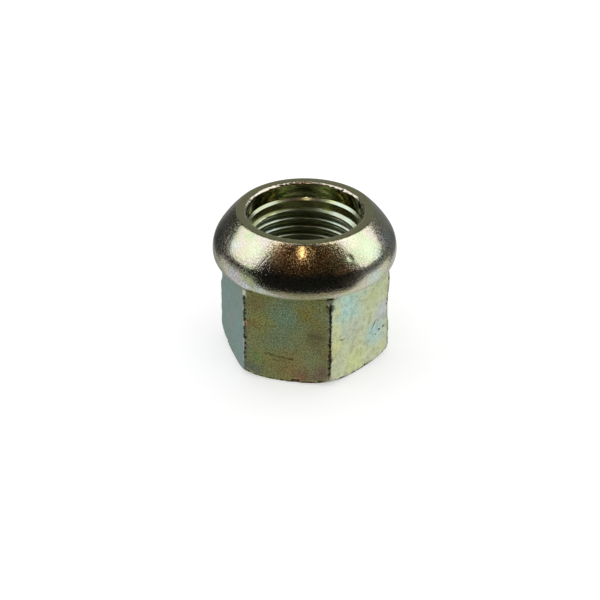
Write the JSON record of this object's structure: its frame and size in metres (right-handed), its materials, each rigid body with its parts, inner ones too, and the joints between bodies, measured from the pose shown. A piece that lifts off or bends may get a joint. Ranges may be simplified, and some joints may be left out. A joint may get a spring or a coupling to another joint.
{
  "type": "lug nut",
  "caption": "Hexagonal wheel lug nut with a round ball seat collar, a counterbored mouth and a threaded through hole, plated in yellow zinc.",
  "frame": {"origin": "centre of the flat end face of the hexagon, on the thread's axis", "axes": "+Z along the thread's axis from the hexagon's end to the ball seat, +X through a corner of the hexagon, +Y square to a flat"},
  "size_m": [0.029, 0.029, 0.0245],
  "materials": {
    "yellow_zinc_plate": "yellow zinc plating, semi-bright, with a faint iridescent tint"
  },
  "bodies": {
    "root": {"lug_nut": "yellow_zinc_plate"}
  },
  "joints": []
}
